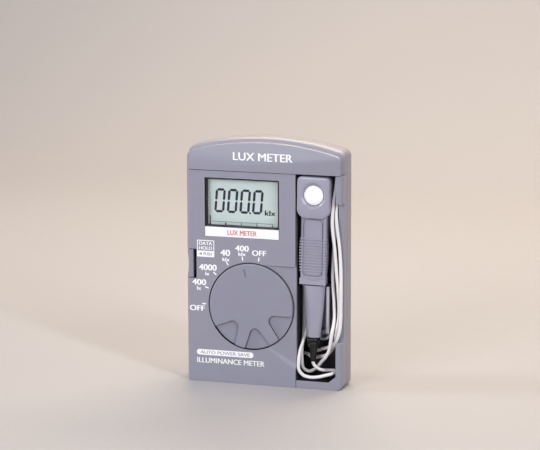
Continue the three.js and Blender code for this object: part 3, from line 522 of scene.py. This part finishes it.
def inside_bay(middle, normal):
    within = BAY["left"] < middle.x < BAY["right"] and BAY["bottom"] < middle.z < BAY["top"]
    return within and middle.y > FACE_Y + SKIN + 0.05


def in_area(middle, area, margin=0.0):
    x0, x1, z0, z1 = area
    return x0 - margin < middle.x < x1 + margin and z0 - margin < middle.z < z1 + margin


def from_dial_axis(middle):
    return math.hypot(middle.x - DIAL.x, middle.z - DIAL.z)


def behind_openings(middle, normal):
    """The faces painted near black as painted shade: the walls of the window, of the dial's hole and of the
    key's slot, and everything inside the case.
    """
    below_skin = middle.y > FACE_Y + SKIN
    in_window = in_area(middle, WINDOW, 0.1)
    in_hole = DIAL_RADIUS - 0.4 < from_dial_axis(middle) < DIAL_RADIUS + 0.7 and abs(normal.y) < 0.3
    in_slot = in_area(middle, KEY_SLOT)
    within = abs(middle.x) < INTERIOR["half_width"] and INTERIOR["low"] < middle.z < INTERIOR["high"]
    inside = within and middle.y > FACE_Y + INTERIOR["depth"]
    return inside or (below_skin and (in_window or in_hole or in_slot))


# Painted shade: the bay's inside is painted near black for the shade in it.
paint(tray, PAINTED_SHADE, inside_bay)
# Painted shade: the walls of the openings and the case's inside are painted near black for the shade in them.
paint(front, PAINTED_SHADE, behind_openings)


# Dial and hold key

def pocket_wall(middle, normal):
    return from_dial_axis(middle) < DIAL_RADIUS - 0.6 and middle.y > DIAL.y + 0.25 and abs(normal.y) < 0.5


dial = refine("range_dial", "dial", DIAL_GREY, "dial_body", "dial", width=0.15)
# Painted shade: the walls of the dial's finger pockets are painted near black for the shade in them.
paint(dial, PAINTED_SHADE, pocket_wall)


# Window and display

refine("label_strip", "strip", STRIP, "case_body", "strip_white", width=0.05)

LENS_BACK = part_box("window_lens")[1].y / MM
GLASS_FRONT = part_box("lcd_glass")[0].y / MM
MARGIN_OUTER = (-31, 9, 73.6, 98.4)
MARGIN_INNER = (-28.05, 8.6, 74.0, 98)


def inset(area, left, right, low, high):
    x0, x1, z0, z1 = area
    return (x0 + left, x1 - right, z0 + low, z1 - high)


def make_window_frame():
    """The black ink round the back of the clear window, and the pale margin round the display."""
    outer = inset(WINDOW, 0.05, 0.05, 0.05, 0.05)
    inner = inset(WINDOW, 0.9, 0.9, 0.6, 0.75)
    ink = border("window_ink", outer, inner, LENS_BACK + 0.05, LENS_BACK + 0.15)
    place(ink, WINDOW_INK, "case_body", "black_plastic")
    margin = border("lcd_margin", MARGIN_OUTER, MARGIN_INNER, GLASS_FRONT - 0.06, GLASS_FRONT - 0.02)
    place(margin, PRINT_WHITE, "case_body", "lcd")


make_window_frame()

DIGIT = {
    "width": 4.95,
    "height": 11.5,
    "stroke": 1.15,
    "pitch": 6.19,
    "left": -25.3,
    "bottom": 80.85,
    "lean": 0.085,
}


def segment_points(which):
    """The corners of one segment of a digit, from the digit's lower left corner."""
    w, h, t = DIGIT["width"], DIGIT["height"], DIGIT["stroke"]
    gap = 0.1
    middle = h / 2
    half = t / 2
    if which in ("a", "g", "d"):
        z = {"a": h - half, "g": middle, "d": half}[which]
        return [(gap + half, z), (gap + t, z - half), (w - gap - t, z - half), (w - gap - half, z),
                (w - gap - t, z + half), (gap + t, z + half)]
    x = half if which in ("e", "f") else w - half
    low, high = (half, middle) if which in ("e", "c") else (middle, h - half)
    return [(x, low + gap), (x + half, low + gap + half), (x + half, high - gap - half), (x, high - gap),
            (x - half, high - gap - half), (x - half, low + gap + half)]


def digit_segments(index, letters, y):
    left = DIGIT["left"] + index * DIGIT["pitch"]
    pieces = []
    for letter in letters:
        points = [(left + x + z * DIGIT["lean"], DIGIT["bottom"] + z) for x, z in segment_points(letter)]
        pieces.append(plate("segment", points, y, y + 0.03))
    return pieces


def make_reading():
    y = GLASS_FRONT - 0.08
    lit = []
    idle = []
    for index in range(4):
        lit += digit_segments(index, "abcdef", y)
        left = DIGIT["left"] + index * DIGIT["pitch"]
        t = DIGIT["stroke"]
        inner = rounded(t * 1.25, DIGIT["width"] - t * 1.25, t * 1.3, DIGIT["height"] - t * 1.3)
        leant = [(left + x + z * DIGIT["lean"], DIGIT["bottom"] + z) for x, z in inner]
        idle.append(plate("idle", leant, y + 0.02, y + 0.04))
    point = DIGIT["left"] + 3 * DIGIT["pitch"] - 1.25
    lit.append(bar("point", point, point + 0.85, DIGIT["bottom"] - 0.1, DIGIT["bottom"] + 0.8, y, y + 0.03))
    lit.append(lettering("klx", -0.35, 4.95, 80.5, 82.9, y + 0.03, bold=0.03))
    lit.append(bar("scale", -26.7, 3.4, 76.45, 76.62, y, y + 0.03))
    for number in range(5):
        x = -27.2 + number * 7.63
        lit.append(bar("tick", x - 0.14, x + 0.14, 75.9, 76.5, y, y + 0.03))
        lit.append(lettering(str(number), x - 0.4, x + 0.4, 74.75, 75.85, y + 0.03, bold=0.03))
    lit.append(bar("start", -27.45, -27.0, 75.0, 79.3, y, y + 0.03))
    place(joined("lcd_reading", lit), LCD_INK, "case_body", "lcd")
    place(joined("lcd_idle", idle), LCD_GHOST, "case_body", "lcd")


make_reading()


# Printing. Each line is the text and the rectangle that it fills.

RANGE_PRINT = [
    ("OFF", -36.5, -28.9, 33.95, 36.6),
    ("400", -35.2, -28.2, 46.4, 49.2),
    ("lx", -32.8, -30.7, 44.0, 45.8),
    ("4000", -31.8, -22.9, 53.6, 56.5),
    ("lx", -28.6, -26.6, 51.2, 52.9),
    ("40", -21.1, -16.2, 61.0, 64.0),
    ("klx", -20.1, -16.5, 58.5, 60.2),
    ("400", -13.8, -7.0, 63.6, 66.4),
    ("klx", -12.2, -8.5, 61.5, 63.1),
    ("OFF", -5.5, 1.5, 61.9, 64.5),
]
PRINT_Y = FACE_Y - 0.01


def range_tick(angle):
    """A short line that points at the dial's middle."""
    turn = math.radians(angle)
    near, far, half = 22.1, 24.0, 0.29
    along = (math.cos(turn), math.sin(turn))
    side = (-along[1], along[0])
    corners = [(near, -half), (far, -half), (far, half), (near, half)]
    points = [(DIAL.x + r * along[0] + s * side[0], DIAL.z + r * along[1] + s * side[1]) for r, s in corners]
    return plate("tick", points, PRINT_Y - 0.03, PRINT_Y)


def make_print():
    ranges = [lettering(text, *area, PRINT_Y, bold=0.035) for text, *area in RANGE_PRINT]
    ranges += [range_tick(angle) for angle in (180, 160, 140, 120, 100, 80)]
    place(joined("range_print", ranges), PRINT_WHITE, "case_body", "strip_white")

    hold = [
        border("box", (-32.6, -24.1, 62.8, 68.0), (-32.2, -24.5, 62.8, 67.6), PRINT_Y - 0.03, PRINT_Y),
        bar("lower", -32.6, -24.1, 60.0, 62.9, PRINT_Y - 0.03, PRINT_Y),
        lettering("DATA", -31.6, -25.1, 65.6, 67.2, PRINT_Y, bold=0.03),
        lettering("HOLD", -31.6, -25.1, 63.4, 65.0, PRINT_Y, bold=0.03),
    ]
    place(joined("hold_print", hold), PRINT_WHITE, "case_body", "strip_white")
    push = [
        lettering("PUSH", -29.4, -25.2, 60.7, 62.2, PRINT_Y - 0.03, bold=0.02),
        plate("arrow", [(-31.7, 61.45), (-30.2, 60.7), (-30.2, 62.2)], PRINT_Y - 0.06, PRINT_Y - 0.03),
    ]
    place(joined("push_print", push), CASE, "case_body", "case")

    titles = [
        bar("pill", -33.1, -5.0, 12.75, 15.45, PRINT_Y - 0.03, PRINT_Y, radius=1.3),
        lettering("ILLUMINANCE METER", -33.0, 0.5, 9.0, 11.5, PRINT_Y, bold=0.02),
    ]
    place(joined("title_print", titles), PRINT_WHITE, "case_body", "strip_white")
    heading = lettering("LUX METER", -14.5, 14.5, 106.7, 110.4, HEADER_Y + HEADER_SETBACK, bold=0.022)
    heading.name = "header_print"
    place(heading, PRINT_WHITE, "case_body", "strip_white")
    strip_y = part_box("label_strip")[0].y / MM
    word = lettering("LUX METER", -17.5, -3.2, 71.1, 73.4, strip_y, bold=0.018)
    word.name = "strip_word"
    place(word, PRINT_RED, "case_body", "strip_white")
    saver = lettering("AUTO POWER SAVE", -31.3, -6.8, 13.3, 14.9, PRINT_Y - 0.03, bold=0.01)
    saver.name = "saver_print"
    place(saver, CASE, "case_body", "case")


make_print()


# Probe

STEM = {"half": 6.2, "inner": 5, "front": -7.1, "back": 0.1, "top": -9.6, "draw_in": 0.15}
PAD = {"half": 4.4, "low": -36.6, "high": -10.5, "front": -7.4, "corner": 2.4}
RIB = {"first": -34.9, "count": 12, "pitch": 1.36, "height": 0.7}
RELIEF = {"top": -67.1, "foot": -78.4, "fins": 4, "lugs": 8}


def taper_stem(piece):
    """The stem's sides draw in towards its back."""
    to_probe = (Matrix.Translation(PROBE_ORIGIN) @ Matrix.Rotation(PROBE_LEAN, 4, "Y")).inverted()
    from_probe = to_probe.inverted()
    for vertex in piece.data.vertices:
        point = to_probe @ (vertex.co / MM)
        if abs(point.x) > STEM["inner"] and point.z < STEM["top"]:
            depth = (point.y - STEM["front"]) / (STEM["back"] - STEM["front"])
            point.x *= 1 - STEM["draw_in"] * min(1, max(0, depth))
            vertex.co = (from_probe @ point) * MM


for node, name in (("probe_front_shell", "probe_front"), ("probe_back_shell", "probe_back")):
    taper_stem(refine(node, name, PROBE_GREY, "probe_body", "probe_shell"))
refine("probe_barrel", "barrel", PROBE_GREY, "probe_body", "probe_shell")
refine("diffuser", "diffuser_disc", OPAL, "probe_body", "diffuser_white")


def arc(x, y, z, radius, start, stop, squash=1.0):
    """Points on an arc in a plane of constant y, angles in degrees from +X towards +Z."""
    step = 9
    count = max(2, round(abs(stop - start) / step))
    turns = [math.radians(start + (stop - start) * i / count) for i in range(count + 1)]
    return [Vector((x + radius * math.cos(t), y, z + radius * squash * math.sin(t))) for t in turns]


def make_grip():
    half, low, high, front, corner = PAD["half"], PAD["low"], PAD["high"], PAD["front"], PAD["corner"]
    pad = bar("pad", -half, half, low, high, front, STEM["front"] + 0.35, radius=corner)
    round_edges(pad, 0.15, angle=40)
    bead_y = front - 0.02
    outline = [Vector((-half + 0.15, bead_y, high - 2))]
    outline += arc(-half + corner, bead_y, low + corner, corner - 0.15, 180, 270)
    outline += arc(half - corner, bead_y, low + corner, corner - 0.15, 270, 360)
    outline += [Vector((half - 0.15, bead_y, high - 2))]
    pieces = [pad, tube("bead", outline, 0.22, 8)]
    for i in range(RIB["count"]):
        z = RIB["first"] + i * RIB["pitch"]
        rib = bar("rib", -half + 0.1, half - 0.1, z, z + RIB["height"], front - 0.32, front + 0.1, radius=0.3)
        round_edges(rib, 0.12, segments=2, angle=40)
        pieces.append(rib)
    place(in_probe(joined("grip", pieces)), GRIP_GREY, "probe_body", "grip", ["grip_pad"])
    hoops = []
    for i in range(RIB["count"]):
        z = RIB["first"] + i * RIB["pitch"]
        swell = 0.12 + 0.4 * math.sin(math.pi * (i + 0.5) / RIB["count"])
        reach = STEM["half"] + swell
        hoop = bar("hoop", -reach, reach, z, z + RIB["height"], STEM["front"] - 0.15, STEM["front"] + 3.2)
        round_edges(hoop, 0.14, segments=2, angle=40)
        hoops.append(hoop)
    place(in_probe(joined("side_ribs", hoops)), PROBE_GREY, "probe_body", "probe_shell")
    smile = arc(0, STEM["front"] - 0.08, low - 0.4, 4.3, 190, 350, squash=0.42)
    place(in_probe(tube("pad_foot_line", smile, 0.2, 8)), PROBE_GREY, "probe_body", "probe_shell")


def make_relief():
    """A moulded strain relief: a notched flange under the barrel, a second ring, then a finned taper."""
    top = RELIEF["top"]
    profile = [(0, top), (2.8, top), (3.0, top - 0.2), (3.0, top - 1.1)]
    profile += [(2.8, top - 1.3), (2.1, top - 1.4), (2.0, top - 2.0)]
    profile += [(2.45, top - 2.15), (2.5, top - 3.0), (2.3, top - 3.2), (1.75, top - 3.3)]
    for i in range(RELIEF["fins"]):
        z = top - 3.6 - i * 1.5
        radius = 1.95 - 0.13 * i
        profile += [(radius, z), (radius - 0.04, z - 1.0), (radius - 0.2, z - 1.1), (radius - 0.2, z - 1.35)]
    foot = RELIEF["foot"]
    profile += [(1.35, foot + 1.4), (1.15, foot + 0.2), (0.95, foot), (0, foot)]
    relief = lathe("strain_relief_rings", profile)
    to_axis = Matrix.Translation((0, PROBE_AXIS_Y, 0))
    relief.data.transform(to_axis)
    pieces = [relief]
    for i in range(RELIEF["lugs"]):
        turn = 2 * math.pi * (i + 0.5) / RELIEF["lugs"]
        lug = bar("lug", -0.35, 0.35, top - 3.2, top - 1.1, 2.0, 2.75)
        round_edges(lug, 0.12, segments=2, angle=40)
        lug.data.transform(to_axis @ Matrix.Rotation(turn, 4, "Z"))
        pieces.append(lug)
    place(in_probe(joined("relief", pieces)), RUBBER, "probe_body", "black_rubber", ["strain_relief"])


make_grip()
make_relief()


# CAD nodes that keep their shape
FINISHES = {
    "cable_grommet": RUBBER,
    "window_lens": LENS,
    "lcd_glass": LCD,
    "lcd_holder": BLACK,
    "lcd_reflector": STEEL,
    "zebra_strip": RUBBER,
    "main_board": BOARD,
    "probe_board": BOARD,
    "meter_chip": BLACK,
    "crystal": STEEL,
    "capacitor_1": BLACK,
    "capacitor_2": BLACK,
    "calibration_trimmer": ACETAL,
    "hold_switch": BLACK,
    "hold_plunger": ACETAL,
    "detent_ring": ACETAL,
    "contact_rotor": ACETAL,
    "filter_disc": FILTER,
    "photodiode": SILICON,
}
# The first prefix that a node's name starts with gives its finish
PREFIX_FINISHES = [
    ("cell_contact", BRASS),
    ("cell_", STEEL),
    ("wiper", BRASS),
    ("detent_", STEEL),
    ("case_screw", STEEL),
    ("board_screw", STEEL),
    ("dial_clip", STEEL),
    ("probe_screw", STEEL),
]
for prefix, mat in PREFIX_FINISHES:
    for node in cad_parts:
        if node.startswith(prefix):
            FINISHES.setdefault(node, mat)
for node, mat in FINISHES.items():
    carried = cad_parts[node]
    carried.data.materials.clear()
    carried.data.materials.append(mat)


# Floor and light

def make_stage():
    mat = surface("pale_floor", (0.42, 0.405, 0.42), 0.7, grain=3, bump=0.02, mottle=0.01, patch=80)
    work = bmesh.new()
    depth = 0.5
    bend = 0.35
    profile = [(-1.2, 0.0), (depth, 0.0)]
    for i in range(1, 13):
        turn = math.pi / 2 * i / 12
        profile.append((depth + bend * math.sin(turn), bend * (1 - math.cos(turn))))
    profile.append((depth + bend, 1.6))
    rows = [[work.verts.new((x, y, z)) for x in (-1.6, 1.6)] for y, z in profile]
    for a, b in zip(rows, rows[1:]):
        work.faces.new((a[0], a[1], b[1], b[0])).smooth = True
    mesh = bpy.data.meshes.new("floor")
    work.to_mesh(mesh)
    work.free()
    floor = link("floor", mesh)
    floor.data.materials.append(mat)


def area_light(name, place_at, aim, size, power, color):
    data = bpy.data.lights.new(name, "AREA")
    data.shape = "RECTANGLE"
    data.size, data.size_y = size
    data.energy = power
    data.color = color
    lamp = bpy.data.objects.new(name, data)
    lamp.location = place_at
    direction = Vector(aim) - Vector(place_at)
    lamp.rotation_mode = "QUATERNION"
    lamp.rotation_quaternion = direction.to_track_quat("-Z", "Y")
    scene.collection.objects.link(lamp)


make_stage()
area_light("overhead", (0.05, 0.02, 0.95), (0, 0, 0.05), (0.5, 0.4), 4.5, (1.0, 0.90, 0.74))
area_light("behind", (0.05, 0.62, 0.62), (0, 0, 0.10), (0.9, 0.3), 6.5, (1.0, 0.84, 0.62))
area_light("front_fill", (-0.35, -1.1, 0.55), (0, 0, 0.06), (0.5, 0.5), 6.6, (0.93, 0.945, 1.0))
area_light("right_strip", (0.78, -0.62, 0.55), (0, 0, 0.06), (0.10, 0.8), 6.5, (0.95, 0.96, 1.0))
area_light("left_strip", (-0.95, -0.22, 0.35), (0, 0, 0.06), (0.14, 0.8), 5.0, (0.95, 0.96, 1.0))

world = bpy.data.worlds.new("studio")
world.use_nodes = True
world.node_tree.nodes["Background"].inputs["Color"].default_value = (0.9, 0.9, 0.95, 1)
world.node_tree.nodes["Background"].inputs["Strength"].default_value = 0.15
scene.world = world
scene.view_settings.view_transform = "Standard"
